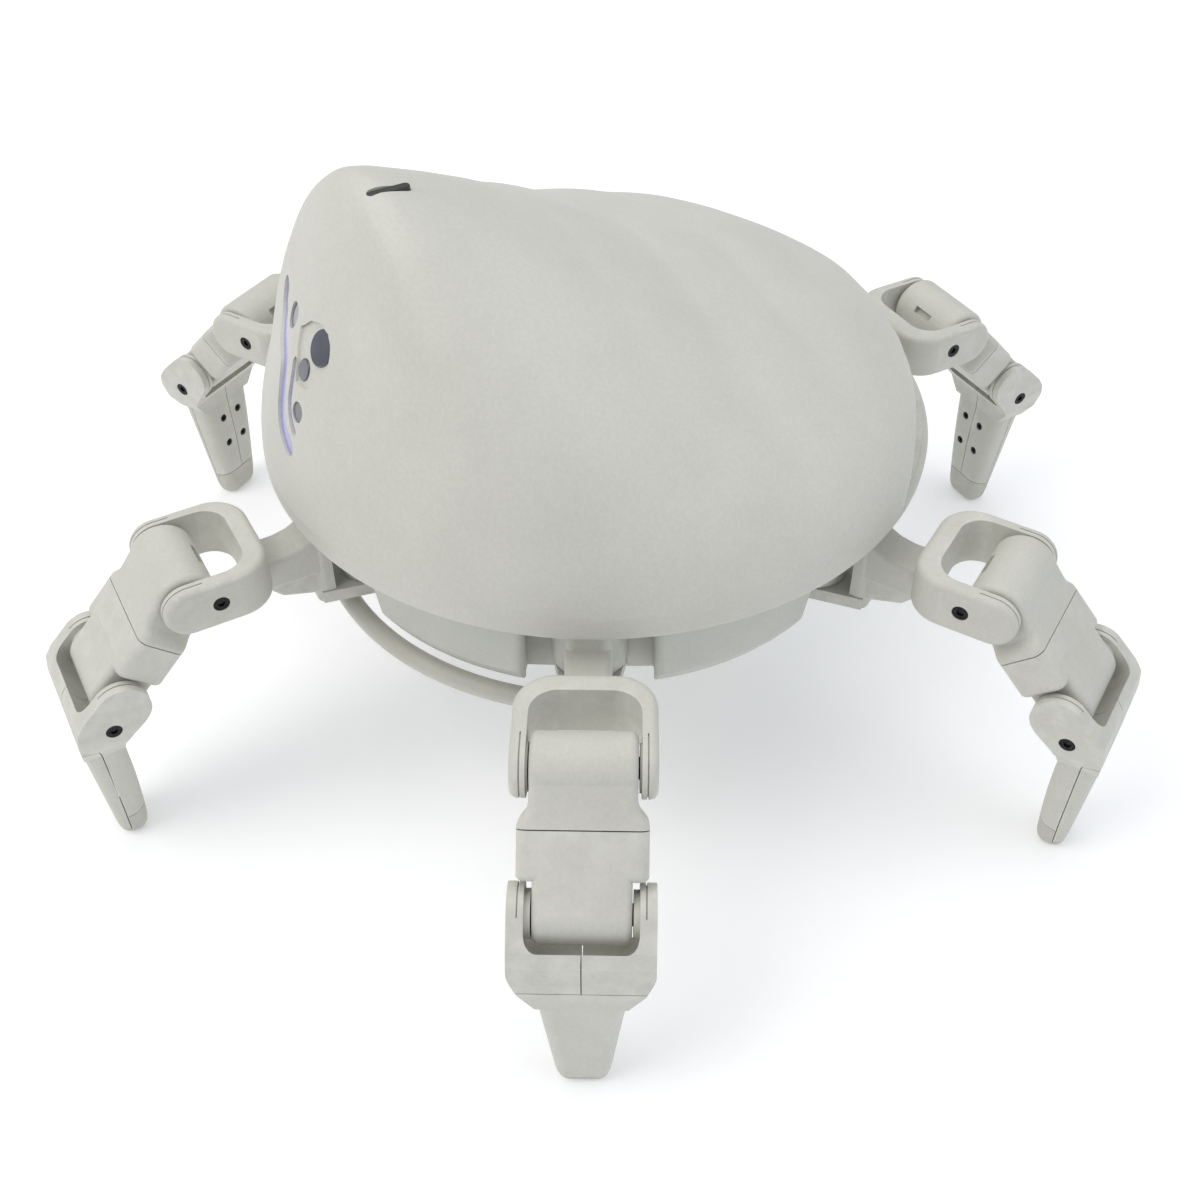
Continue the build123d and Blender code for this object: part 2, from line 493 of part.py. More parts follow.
m1, e1, n1 = tail(p1, a1, 1)
m0, e0, n0 = tail(p0, a0, -1)
f1 = e1 + n1 * 9.5
f0 = e0 + n0 * 9.5
path = Wire([Line(f0, e0).edge(), ThreePointArc(e0, m0, p0).edge(), arc.edge(), ThreePointArc(p1, m1, e1).edge(), Line(e1, f1).edge()])
prof_c = Plane(origin=f0, z_dir=(e0 - f0).normalized()) * Circle(BAR_R)
bar = sweep(prof_c, path=path)
bar = one(bar)
for p in (f0, f1):
    bar = bar + cyl_z(p.X, p.Y, 5.0, BAR_Z - BAR_R - 0.6, HULL_BOTTOM + 6.0)
bar = one(bar)
print("bar", bar.is_valid, len(bar.faces()), round(bar.volume))
out("carry_bar", bar)
hull = one(hull - bar)
out("base_hull", hull)

bearing = cyl_z(0, 0, 40, HULL_TOP, 110.2) - cyl_z(0, 0, 30.0, HULL_TOP - 1, 120)
bearing = bearing + (cyl_z(0, 0, 44, HULL_TOP, HULL_TOP + 2.4) - cyl_z(0, 0, 35, HULL_TOP - 1, HULL_TOP + 5))
out("head_bearing", one(bearing))

# ------------------------------------------------------------------- head
print("head parts")
outer = head_solid(0.0)
inner = head_solid(WALL)
mid = head_solid(0.9)
print("domes", outer.is_valid, inner.is_valid, mid.is_valid, round(outer.volume), round(inner.volume), round(mid.volume))
skin = outer - inner
print("wall", skin.is_valid, round(skin.volume))
ledge = cyl_z(0, 0, RIM_R - WALL + 0.3, RIM_Z + 0.3, RIM_Z + 2.6) - cyl_z(0, 0, 98.0, RIM_Z - 1, RIM_Z + 4)
ledge = ledge & outer
skin = one(skin + ledge)
print("ledge", skin.is_valid, round(skin.volume))
turn = Location((0, 0, 0), (0, 0, HEAD_AZ))

# face openings, cut into the front of the head


def surface_at(az, z):
    """Point of the head's outer surface at this azimuth and height, and the outward direction there."""
    t = math.radians(az)
    lo, hi = 74.0, RIM_R
    for _ in range(40):
        m = 0.5 * (lo + hi)
        if head_z(m * math.cos(t), m * math.sin(t)) >= z:
            lo = m
        else:
            hi = m
    x, y = lo * math.cos(t), lo * math.sin(t)
    gx = (head_z(x + 0.5, y) - head_z(x - 0.5, y))
    gy = (head_z(x, y + 0.5) - head_z(x, y - 0.5))
    n = Vector(-gx, -gy, 1.0).normalized()
    return Vector(x, y, z), n


def smooth(points, steps=3):
    """Points along a smooth line through the given ones."""
    res = []
    p = [points[0]] + list(points) + [points[-1]]
    for i in range(1, len(p) - 2):
        for k in range(steps):
            u = k / steps
            res.append(tuple(0.5 * (2 * p[i][c] + (p[i + 1][c] - p[i - 1][c]) * u
                                    + (2 * p[i - 1][c] - 5 * p[i][c] + 4 * p[i + 1][c] - p[i + 2][c]) * u * u
                                    + (3 * p[i][c] - p[i - 1][c] - 3 * p[i + 1][c] + p[i + 2][c]) * u ** 3) for c in (0, 1)))
    res.append(points[-1])
    return res


MM_PER_DEG = 1.72


def strip_loop(points, half):
    """Outline of a channel with round ends, as (azimuth, height) pairs."""
    pts = [(a * MM_PER_DEG, z) for a, z in smooth(points)]
    left, right, dirs = [], [], []
    for i, (a, z) in enumerate(pts):
        j0, j1 = max(i - 1, 0), min(i + 1, len(pts) - 1)
        ta, tz = pts[j1][0] - pts[j0][0], pts[j1][1] - pts[j0][1]
        n = math.hypot(ta, tz)
        ta, tz = ta / n, tz / n
        dirs.append(math.atan2(tz, ta))
        left.append((a - tz * half, z + ta * half))
        right.append((a + tz * half, z - ta * half))
    (a0, z0), (a1, z1) = pts[0], pts[-1]
    end = [(a1 + half * math.cos(dirs[-1] + g), z1 + half * math.sin(dirs[-1] + g)) for g in (1.05, 0.52, 0.0, -0.52, -1.05)]
    start = [(a0 + half * math.cos(dirs[0] + math.pi + g), z0 + half * math.sin(dirs[0] + math.pi + g)) for g in (1.05, 0.52, 0.0, -0.52, -1.05)]
    return [(a / MM_PER_DEG, z) for a, z in left + end + right[::-1] + start]


def loop_tool(loop):
    """Cutting block through the face, following an outline of (azimuth, height) pairs."""
    def ring(rad):
        q = []
        for a, z in loop:
            t = math.radians(a)
            q.append((rad * math.cos(t), rad * math.sin(t), z))
        return Wire.make_polygon(q, close=True)
    return Solid.make_loft([ring(82.0), ring(118.0)], ruled=True)


VISOR = [(-21.0, 161.0), (-20.6, 157.5), (-18.7, 154.9), (-15.7, 153.2), (-12.3, 151.8), (-9.6, 149.8), (-8.1, 147.2),
         (-7.0, 144.2), (-6.0, 140.8), (-5.2, 137.4), (-4.1, 134.4), (-2.5, 131.8), (-0.6, 130.3)]
VISOR_HALF = 3.5
INNER = [(-4.0, 153.2), (-3.3, 150.3), (-2.7, 146.8), (-2.1, 143.0), (-0.8, 139.2), (1.1, 136.3)]
INNER_HALF = 1.4
LENSES = [(2.4, 162.4, 5.4), (-12.1, 160.0, 4.0), (-0.6, 153.9, 3.3), (1.3, 142.7, 3.1)]
POCKET = [(-7.0, 161.2), (-3.4, 165.7), (0.7, 167.8), (3.9, 167.2), (5.8, 163.3), (6.4, 160.0), (4.6, 155.2), (1.9, 149.8),
          (-1.6, 149.4), (-4.8, 157.0)]

pocket_cut = loop_tool(POCKET) - mid
skin = skin - pocket_cut
print("pocket", skin.is_valid, round(skin.volume))
wall_mid = mid - inner
panes = []
for line, half in ((VISOR, VISOR_HALF), (INNER, INNER_HALF)):
    tool = loop_tool(strip_loop(line, half))
    skin = skin - tool
    panes.append(sorted((tool & wall_mid).solids(), key=lambda q: -q.volume)[0])
    print("channel", skin.is_valid, round(skin.volume), round(panes[-1].volume))
sens = []
for az, z, r in LENSES:
    c, n = surface_at(az, z)
    skin = skin - Solid.make_cylinder(r, 18.0, Plane(origin=c - n * 9.0, z_dir=n))
    lens = Solid.make_cylinder(r - 0.02, 1.5, Plane(origin=c - n * 2.0, z_dir=n))
    sens.append(first_valid(lens, lens.edges().filter_by(GeomType.CIRCLE).sort_by(lambda e: (e.center() - c).length)[0:1], [0.4]))
# power button slot on the crown
bx, by = BUTTON_AT
bz = head_z(bx, by)
slot = extrude(SlotOverall(12.6, 2.9), amount=16).moved(Location((bx, by, bz - 9)))
skin = skin - slot
button = extrude(SlotOverall(12.3, 2.6), amount=5.2).moved(Location((bx, by, bz - 5.9)))
button = one(button)
button = first_valid(button, button.edges().group_by(Axis.Z)[-1], [0.5])
stem = extrude(SlotOverall(14.0, 4.6), amount=1.2).moved(Location((bx, by, bz - 6.9)))
button = one(button + stem)
skin = one(skin)
print("skin valid", skin.is_valid, len(skin.faces()))
out("head_shell", skin.moved(turn))
out("visor_lens", Compound([q.moved(turn) for q in panes]))
out("face_sensors", Compound([q.moved(turn) for q in sens]))
out("power_button", button.moved(turn))

floor = cyl_z(0, 0, 101.5, RIM_Z + 2.6, RIM_Z + 5.0) + cyl_z(0, 0, 29.95, HULL_TOP + 0.5, RIM_Z + 3)
floor = floor - cyl_z(0, 0, 12.0, HULL_TOP - 1, 130)
for k in range(6):
    a = math.radians(30 + 60 * k)
    floor = floor - cyl_z(68 * math.cos(a), 68 * math.sin(a), 14, 100, 130)
out("head_floor", one(floor).moved(turn))
print("done")
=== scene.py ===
import bisect
import math

import bmesh
import bpy
from mathutils import Matrix, Vector


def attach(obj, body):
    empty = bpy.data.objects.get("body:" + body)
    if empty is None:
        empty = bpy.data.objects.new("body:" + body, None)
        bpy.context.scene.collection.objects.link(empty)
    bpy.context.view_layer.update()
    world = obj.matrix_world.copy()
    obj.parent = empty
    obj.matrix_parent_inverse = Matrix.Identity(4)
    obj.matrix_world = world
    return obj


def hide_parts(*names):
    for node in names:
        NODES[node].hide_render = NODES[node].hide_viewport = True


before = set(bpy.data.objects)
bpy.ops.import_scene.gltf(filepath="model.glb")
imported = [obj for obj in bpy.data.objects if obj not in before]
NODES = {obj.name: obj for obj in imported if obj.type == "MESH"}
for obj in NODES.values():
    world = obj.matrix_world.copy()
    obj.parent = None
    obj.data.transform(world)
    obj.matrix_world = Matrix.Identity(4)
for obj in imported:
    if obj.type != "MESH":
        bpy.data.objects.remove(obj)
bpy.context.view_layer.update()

# ------------------------------------------------------------------ camera
scene = bpy.context.scene
cam_data = bpy.data.cameras.new("camera")
cam = bpy.data.objects.new("camera", cam_data)
scene.collection.objects.link(cam)
cam.location = (0.18836, 0.34372, 0.39064)
fwd = Vector((-0.3509, -0.6346, -0.6885)).normalized()
cam.rotation_mode = "QUATERNION"
cam.rotation_quaternion = fwd.to_track_quat("-Z", "Y")
cam_data.sensor_width = 36.0
cam_data.lens = 43.658
cam_data.clip_start, cam_data.clip_end = 0.01, 20.0
scene.camera = cam
scene.view_settings.view_transform = "Standard"
scene.view_settings.look = "None"


# --------------------------------------------------------------- materials
def srgb(r, g, b):
    def f(c):
        c /= 255.0
        return c / 12.92 if c <= 0.04045 else ((c + 0.055) / 1.055) ** 2.4
    return (f(r), f(g), f(b), 1.0)


def node(nt, kind, x=0, y=0, **values):
    n = nt.nodes.new(kind)
    n.location = (x, y)
    for k, v in values.items():
        setattr(n, k, v)
    return n


def base_material(name):
    m = bpy.data.materials.new(name)
    m.use_nodes = True
    nt = m.node_tree
    nt.nodes.clear()
    out = node(nt, "ShaderNodeOutputMaterial", 900, 0)
    bsdf = node(nt, "ShaderNodeBsdfPrincipled", 600, 0)
    nt.links.new(bsdf.outputs["BSDF"], out.inputs["Surface"])
    coord = node(nt, "ShaderNodeTexCoord", -1200, 0)
    return m, nt, bsdf, coord


def noise(nt, coord, scale, detail=4.0, rough=0.5, x=-800, y=0):
    n = node(nt, "ShaderNodeTexNoise", x, y)
    n.inputs["Scale"].default_value = scale
    n.inputs["Detail"].default_value = detail
    n.inputs["Roughness"].default_value = rough
    nt.links.new(coord.outputs["Object"], n.inputs["Vector"])
    return n


def ramp(nt, src, stops, x=-500, y=0):
    r = node(nt, "ShaderNodeValToRGB", x, y)
    els = r.color_ramp.elements
    while len(els) > len(stops):
        els.remove(els[-1])
    while len(els) < len(stops):
        els.new(0.5)
    for e, (p, c) in zip(els, stops):
        e.position = p
        e.color = c
    nt.links.new(src, r.inputs["Fac"])
    return r


def moulded(name, light, dark, edge, rough=(0.46, 0.58), grain=5200.0, grain_depth=0.000035, spec=0.42):
    """Satin moulded plastic: fine spark-eroded grain, faint flow mottling, paler rubbed edges."""
    m, nt, bsdf, coord = base_material(name)
    mott = noise(nt, coord, 38.0, 5.0, 0.55, -900, 300)
    r1 = ramp(nt, mott.outputs["Fac"], [(0.32, dark), (0.68, light)], -600, 300)
    fine = noise(nt, coord, 900.0, 3.0, 0.6, -900, 0)
    r2 = ramp(nt, fine.outputs["Fac"], [(0.35, (0.94, 0.94, 0.94, 1)), (0.7, (1.0, 1.0, 1.0, 1))], -600, 0)
    mul = node(nt, "ShaderNodeMix", -250, 200, data_type="RGBA", blend_type="MULTIPLY")
    mul.inputs["Factor"].default_value = 1.0
    nt.links.new(r1.outputs["Color"], mul.inputs[6])
    nt.links.new(r2.outputs["Color"], mul.inputs[7])
    geo = node(nt, "ShaderNodeNewGeometry", -900, -300)
    wear = ramp(nt, geo.outputs["Pointiness"], [(0.515, (0, 0, 0, 1)), (0.60, (1, 1, 1, 1))], -600, -300)
    wn = noise(nt, coord, 160.0, 4.0, 0.6, -900, -500)
    wr = ramp(nt, wn.outputs["Fac"], [(0.42, (0, 0, 0, 1)), (0.62, (1, 1, 1, 1))], -600, -500)
    both = node(nt, "ShaderNodeMath", -300, -350, operation="MULTIPLY")
    nt.links.new(wear.outputs["Color"], both.inputs[0])
    nt.links.new(wr.outputs["Color"], both.inputs[1])
    half = node(nt, "ShaderNodeMath", -120, -350, operation="MULTIPLY")
    half.inputs[1].default_value = 0.5
    nt.links.new(both.outputs[0], half.inputs[0])
    mix = node(nt, "ShaderNodeMix", 100, 150, data_type="RGBA")
    nt.links.new(half.outputs[0], mix.inputs["Factor"])
    nt.links.new(mul.outputs[2], mix.inputs[6])
    mix.inputs[7].default_value = edge
    nt.links.new(mix.outputs[2], bsdf.inputs["Base Color"])
    rn = noise(nt, coord, 70.0, 3.0, 0.5, -300, -600)
    rr = node(nt, "ShaderNodeMapRange", 0, -600)
    rr.inputs["To Min"].default_value = rough[0]
    rr.inputs["To Max"].default_value = rough[1]
    nt.links.new(rn.outputs["Fac"], rr.inputs["Value"])
    nt.links.new(rr.outputs["Result"], bsdf.inputs["Roughness"])
    gn = noise(nt, coord, grain, 2.0, 0.5, -300, -850)
    bump = node(nt, "ShaderNodeBump", 250, -500)
    bump.inputs["Strength"].default_value = 0.35
    bump.inputs["Distance"].default_value = grain_depth
    nt.links.new(gn.outputs["Fac"], bump.inputs["Height"])
    nt.links.new(bump.outputs["Normal"], bsdf.inputs["Normal"])
    bsdf.inputs["Specular IOR Level"].default_value = spec
    return m


def dark_metal(name, c0, c1, rough=(0.28, 0.42), metallic=0.85):
    m, nt, bsdf, coord = base_material(name)
    n = noise(nt, coord, 700.0, 4.0, 0.6, -900, 200)
    r = ramp(nt, n.outputs["Fac"], [(0.3, c0), (0.75, c1)], -600, 200)
    nt.links.new(r.outputs["Color"], bsdf.inputs["Base Color"])
    rr = node(nt, "ShaderNodeMapRange", 0, -200)
    rr.inputs["To Min"].default_value = rough[0]
    rr.inputs["To Max"].default_value = rough[1]
    nt.links.new(n.outputs["Fac"], rr.inputs["Value"])
    nt.links.new(rr.outputs["Result"], bsdf.inputs["Roughness"])
    bump = node(nt, "ShaderNodeBump", 250, -400)
    bump.inputs["Strength"].default_value = 0.3
    bump.inputs["Distance"].default_value = 0.00003
    nt.links.new(n.outputs["Fac"], bump.inputs["Height"])
    nt.links.new(bump.outputs["Normal"], bsdf.inputs["Normal"])
    bsdf.inputs["Metallic"].default_value = metallic
    return m


def rubber(name, c0, c1):
    m, nt, bsdf, coord = base_material(name)
    n = noise(nt, coord, 260.0, 6.0, 0.65, -900, 200)
    r = ramp(nt, n.outputs["Fac"], [(0.3, c0), (0.72, c1)], -600, 200)
    nt.links.new(r.outputs["Color"], bsdf.inputs["Base Color"])
    v = node(nt, "ShaderNodeTexVoronoi", -900, -200)
    v.inputs["Scale"].default_value = 1500.0
    nt.links.new(coord.outputs["Object"], v.inputs["Vector"])
    bump = node(nt, "ShaderNodeBump", 250, -400)
    bump.inputs["Strength"].default_value = 0.5
    bump.inputs["Distance"].default_value = 0.00008
    nt.links.new(v.outputs["Distance"], bump.inputs["Height"])
    nt.links.new(bump.outputs["Normal"], bsdf.inputs["Normal"])
    rr = node(nt, "ShaderNodeMapRange", 0, -200)
    rr.inputs["To Min"].default_value = 0.72
    rr.inputs["To Max"].default_value = 0.88
    nt.links.new(n.outputs["Fac"], rr.inputs["Value"])
    nt.links.new(rr.outputs["Result"], bsdf.inputs["Roughness"])
    bsdf.inputs["Specular IOR Level"].default_value = 0.3
    return m


def tinted(name, c0, c1, alpha=1.0, rough=0.12):
    m, nt, bsdf, coord = base_material(name)
    n = noise(nt, coord, 60.0, 3.0, 0.5, -900, 200)
    r = ramp(nt, n.outputs["Fac"], [(0.3, c0), (0.7, c1)], -600, 200)
    nt.links.new(r.outputs["Color"], bsdf.inputs["Base Color"])
    rr = node(nt, "ShaderNodeMapRange", 0, -200)
    rr.inputs["To Min"].default_value = rough
    rr.inputs["To Max"].default_value = rough + 0.08
    nt.links.new(n.outputs["Fac"], rr.inputs["Value"])
    nt.links.new(rr.outputs["Result"], bsdf.inputs["Roughness"])
    bsdf.inputs["Coat Weight"].default_value = 0.6
    bsdf.inputs["Coat Roughness"].default_value = 0.05
    bsdf.inputs["IOR"].default_value = 1.5
    return m


SHELL = moulded("moulded_shell", srgb(211, 210, 201), srgb(206, 205, 196), srgb(220, 219, 211), (0.44, 0.54))
CASE = moulded("moulded_case", srgb(208, 207, 198), srgb(201, 200, 191), srgb(219, 218, 210), (0.46, 0.58))
HULL = moulded("moulded_hull", srgb(203, 203, 196), srgb(195, 196, 189), srgb(213, 213, 206), (0.5, 0.62))
BAR = moulded("bar_plastic", srgb(201, 199, 190), srgb(193, 191, 182), srgb(211, 209, 201), (0.36, 0.46))
SCREW = dark_metal("black_oxide", srgb(24, 24, 26), srgb(52, 52, 54))
SERVO = moulded("servo_plastic", srgb(58, 60, 63), srgb(48, 50, 53), srgb(78, 80, 82), (0.5, 0.62))
FOOT = rubber("foot_rubber", srgb(190, 189, 180), srgb(200, 199, 190))
VISOR = tinted("visor_tint", srgb(138, 138, 196), srgb(158, 158, 212))
LENS = tinted("lens_dark", srgb(70, 72, 82), srgb(96, 98, 108))
BUTTON = moulded("button_plastic", srgb(66, 67, 66), srgb(54, 55, 54), srgb(90, 91, 90), (0.4, 0.5))
BEARING = moulded("bearing_plastic", srgb(118, 118, 116), srgb(108, 108, 106), srgb(136, 136, 134), (0.3, 0.4))
BOARD = moulded("circuit_board", srgb(30, 92, 62), srgb(24, 80, 54), srgb(60, 130, 96), (0.3, 0.42))
BATT = moulded("battery_wrap", srgb(60, 68, 92), srgb(52, 60, 84), srgb(80, 88, 112), (0.25, 0.35))

KIND = {"coxa_bracket": CASE, "hip_screws": SCREW, "femur_case": CASE, "femur_servos": SERVO, "tibia_frame": CASE,
        "shin_cover": CASE, "foot_pad": FOOT, "tibia_screws": SCREW, "base_hull": HULL, "base_cover": HULL,
        "yaw_servos": SERVO, "battery_pack": BATT, "control_board": BOARD, "carry_bar": BAR, "head_bearing": BEARING,
        "head_shell": SHELL, "head_floor": BEARING, "visor_lens": VISOR, "face_sensors": LENS, "power_button": BUTTON}


def set_material(obj, mat):
    if not obj.data.materials:
        obj.data.materials.append(mat)
    for s in obj.material_slots:
        s.material = mat


for name, obj in NODES.items():
    for key, mat in KIND.items():
        if name.endswith(key):
            set_material(obj, mat)

# --------------------------------------------------------------- head dome
# The head's outer surface in millimetres, as one smooth function of x and y.
UNIT, RIM_R, RIM_Z, LIP_Z0, WALL, HEAD_AZ = 180.0, 108.0, 108.0, 105.4, 2.3, 1.5
PROFILE = [(0.6, 0.6), (0.5803, 0.7009), (0.505, 0.9077), (0.4359, 1.1018), (0.4127, 1.1335),
           (0.3873, 1.1432), (0.3536, 1.1359), (0.3035, 1.1149), (0.2585, 1.0945), (0.1738, 1.0528),
           (0.0811, 1.0039), (-0.0867, 0.9204), (-0.216, 0.875), (-0.3312, 0.8372), (-0.4287, 0.7898),
           (-0.5117, 0.7424), (-0.5661, 0.7011), (-0.592, 0.6401), (-0.6, 0.6)]
CROWN_Z, CROWN_SQUEEZE = 202.5, 0.72


def pchip(xs, ys):
    n = len(xs)
    h = [xs[i + 1] - xs[i] for i in range(n - 1)]
    d = [(ys[i + 1] - ys[i]) / h[i] for i in range(n - 1)]
    m = [0.0] * n
    for i in range(1, n - 1):
        if d[i - 1] * d[i] > 0:
            w1, w2 = 2 * h[i] + h[i - 1], h[i] + 2 * h[i - 1]
            m[i] = (w1 + w2) / (w1 / d[i - 1] + w2 / d[i])

    def end(h0, h1, d0, d1):
        e = ((2 * h0 + h1) * d0 - h0 * d1) / (h0 + h1)
        if e * d0 <= 0:
            return 0.0
        if d0 * d1 <= 0 and abs(e) > 3 * abs(d0):
            return 3 * d0
        return e
    m[0] = end(h[0], h[1], d[0], d[1])
    m[-1] = end(h[-1], h[-2], d[-1], d[-2])

    def f(x):
        x = min(max(x, xs[0]), xs[-1])
        i = 0
        while i < n - 2 and x > xs[i + 1]:
            i += 1
        t = (x - xs[i]) / h[i]
        return ((1 + 2 * t) * (1 - t) ** 2 * ys[i] + t * (1 - t) ** 2 * h[i] * m[i]
                + t * t * (3 - 2 * t) * ys[i + 1] + t * t * (t - 1) * h[i] * m[i + 1])
    return f


ph = [math.atan2(z - 0.6, s) for s, z in PROFILE]
ph[0], ph[-1] = 0.0, math.pi
rad = pchip(ph, [math.hypot(s, z - 0.6) for s, z in PROFILE])
tab = sorted((rad(math.pi * k / 1440) * math.cos(math.pi * k / 1440),
              rad(math.pi * k / 1440) * math.sin(math.pi * k / 1440)) for k in range(1441))
tab_s = [t[0] for t in tab]


def centre_height(s):
    if s <= tab[0][0] or s >= tab[-1][0]:
        return 0.0
    i = bisect.bisect_right(tab_s, s) - 1
    a, b = tab[i], tab[min(i + 1, len(tab) - 1)]
    t = (s - a[0]) / max(b[0] - a[0], 1e-12)
    return a[1] + t * (b[1] - a[1])


def head_z(x, y):
    s, l = x / UNIT, y / UNIT
    w = min(max((s + 0.6) / 1.2, 0), 1)
    q = 0.34 * (1 - w) ** 2 + 2 * 0.60 * w * (1 - w) + 0.60 * w * w
    p = 1.60 * (1 - w) + 1.52 * w
    lim = math.sqrt(max(0.36 - s * s, 1e-9))
    t = min(abs(l) / lim, 1.0)
    t = math.sqrt(t * t + 0.0016) - 0.04 * (1 - t) if t < 1 else 1.0
    t = min(max(t, 0.0), 1.0)
    return UNIT * (0.6 + centre_height(s) * (1 - t ** p) ** q)


def surface_normal(x, y):
    r = math.hypot(x, y)
    if r > RIM_R - 0.4:
        return Vector((x / r, y / r, 0.0))
    e = 0.35
    gx = (head_z(x + e, y) - head_z(x - e, y)) / (2 * e)
    gy = (head_z(x, y + e) - head_z(x, y - e)) / (2 * e)
    return Vector((-gx, -gy, 1.0)).normalized()


CENTRE = Vector((22.0, 0.0, RIM_Z))
N_AZ, N_EL = 288, 110


def dome_point(u, e):
    """Where a ray from the middle of the head leaves it; u round the axis, e above the rim, in radians."""
    d = Vector((math.cos(e) * math.cos(u), math.cos(e) * math.sin(u), math.sin(e)))
    b = CENTRE.x * d.x + CENTRE.y * d.y
    h2 = d.x * d.x + d.y * d.y
    far = 120.0
    if h2 > 1e-9:
        far = min(far, (-b + math.sqrt(b * b - h2 * (CENTRE.x ** 2 + CENTRE.y ** 2 - RIM_R ** 2))) / h2)
    lo, hi = 0.0, far
    for _ in range(26):
        m = 0.5 * (lo + hi)
        q = CENTRE + d * m
        if q.z <= head_z(q.x, q.y):
            lo = m
        else:
            hi = m
    return CENTRE + d * lo


def crown(z):
    return z if z < CROWN_Z else CROWN_Z + (z - CROWN_Z) * CROWN_SQUEEZE


rings, normals = [], []
for j in range(N_EL + 1):
    f = j / N_EL
    e = math.pi / 2 * (f ** 1.25)
    row, nrow = [], []
    for i in range(N_AZ):
        u = 2 * math.pi * i / N_AZ
        if j == 0:
            d = Vector((math.cos(u), math.sin(u)))
            b = CENTRE.x * d.x
            k = -b + math.sqrt(b * b - CENTRE.x ** 2 + RIM_R ** 2)
            p3 = Vector((CENTRE.x + d.x * k, d.y * k, RIM_Z))
            nn = Vector((p3.x, p3.y, 0)).normalized()
        else:
            p3 = dome_point(u, min(e, math.pi / 2 - 1e-4))
            nn = surface_normal(p3.x, p3.y)
        row.append(p3)
        nrow.append(nn)
        if j == N_EL:
            break
    rings.append(row)
    normals.append(nrow)


def dome_mesh(name, inset, lip=True):
    """Closed mesh: the outer surface, and either the inner surface a wall in, or a flat underside."""
    bmm = bmesh.new()
    outer = []
    low = []
    if lip:
        for dz, dr in ((LIP_Z0, -0.9), (LIP_Z0 + 0.25, -0.28), (LIP_Z0 + 0.9, 0.0), (LIP_Z0 + 1.8, 0.0)):
            low.append([bmm.verts.new(((RIM_R + dr) * p.x / math.hypot(p.x, p.y), (RIM_R + dr) * p.y / math.hypot(p.x, p.y), dz))
                        for p in rings[0]])
    for row, nrow in zip(rings, normals):
        outer.append([bmm.verts.new((p.x - n.x * inset, p.y - n.y * inset, crown(p.z) - n.z * inset)) for p, n in zip(row, nrow)])
    rows = low + outer[:-1]

    def skin(rs, top, flip):
        for a, b in zip(rs, rs[1:]):
            for i in range(N_AZ):
                k = (i + 1) % N_AZ
                v = [a[i], a[k], b[k], b[i]]
                bmm.faces.new(v[::-1] if flip else v)
        for i in range(N_AZ):
            v = [rs[-1][i], rs[-1][(i + 1) % N_AZ], top]
            bmm.faces.new(v[::-1] if flip else v)
    skin(rows, outer[-1][0], False)
    if lip:
        inner = []
        base = [bmm.verts.new(((RIM_R - WALL) * p.x / math.hypot(p.x, p.y), (RIM_R - WALL) * p.y / math.hypot(p.x, p.y), LIP_Z0))
                for p in rings[0]]
        inner.append(base)
        for row, nrow in zip(rings[:-1:2], normals[:-1:2]):
            inner.append([bmm.verts.new((p.x - n.x * WALL, p.y - n.y * WALL, crown(p.z) - n.z * WALL)) for p, n in zip(row, nrow)])
        p, n = rings[-1][0], normals[-1][0]
        skin(inner, bmm.verts.new((p.x, p.y, crown(p.z) - WALL)), True)
        for i in range(N_AZ):
            k = (i + 1) % N_AZ
            bmm.faces.new([rows[0][k], rows[0][i], base[i], base[k]])
    else:
        bmm.faces.new(rows[0][::-1])
    me = bpy.data.meshes.new(name)
    bmm.to_mesh(me)
    bmm.free()
    return me


def surface_at(az, z):
    t = math.radians(az)
    lo, hi = 74.0, RIM_R
    for _ in range(40):
        m = 0.5 * (lo + hi)
        if head_z(m * math.cos(t), m * math.sin(t)) >= z:
            lo = m
        else:
            hi = m
    x, y = lo * math.cos(t), lo * math.sin(t)
    return Vector((x, y, z)), surface_normal(x, y)


def smooth_line(points, steps=5):
    res = []
    p = [points[0]] + list(points) + [points[-1]]
    for i in range(1, len(p) - 2):
        for k in range(steps):
            u = k / steps
            res.append(tuple(0.5 * (2 * p[i][c] + (p[i + 1][c] - p[i - 1][c]) * u
                                    + (2 * p[i - 1][c] - 5 * p[i][c] + 4 * p[i + 1][c] - p[i + 2][c]) * u * u
                                    + (3 * p[i][c] - p[i - 1][c] - 3 * p[i + 1][c] + p[i + 2][c]) * u ** 3) for c in (0, 1)))
    res.append(points[-1])
    return res


MM_PER_DEG = 1.72
VISOR_LINE = [(-21.0, 161.0), (-20.6, 157.5), (-18.7, 154.9), (-15.7, 153.2), (-12.3, 151.8), (-9.6, 149.8), (-8.1, 147.2),
              (-7.0, 144.2), (-6.0, 140.8), (-5.2, 137.4), (-4.1, 134.4), (-2.5, 131.8), (-0.6, 130.3)]
INNER_LINE = [(-4.0, 153.2), (-3.3, 150.3), (-2.7, 146.8), (-2.1, 143.0), (-0.8, 139.2), (1.1, 136.3)]
LENSES = [(2.4, 162.4, 5.4), (-12.1, 160.0, 4.0), (-0.6, 153.9, 3.3), (1.3, 142.7, 3.1)]
POCKET = [(-7.0, 161.2), (-3.4, 165.7), (0.7, 167.8), (3.9, 167.2), (5.8, 163.3), (6.4, 160.0), (4.6, 155.2), (1.9, 149.8),
          (-1.6, 149.4), (-4.8, 157.0)]
BUTTON_AT = (66.0, 4.6)


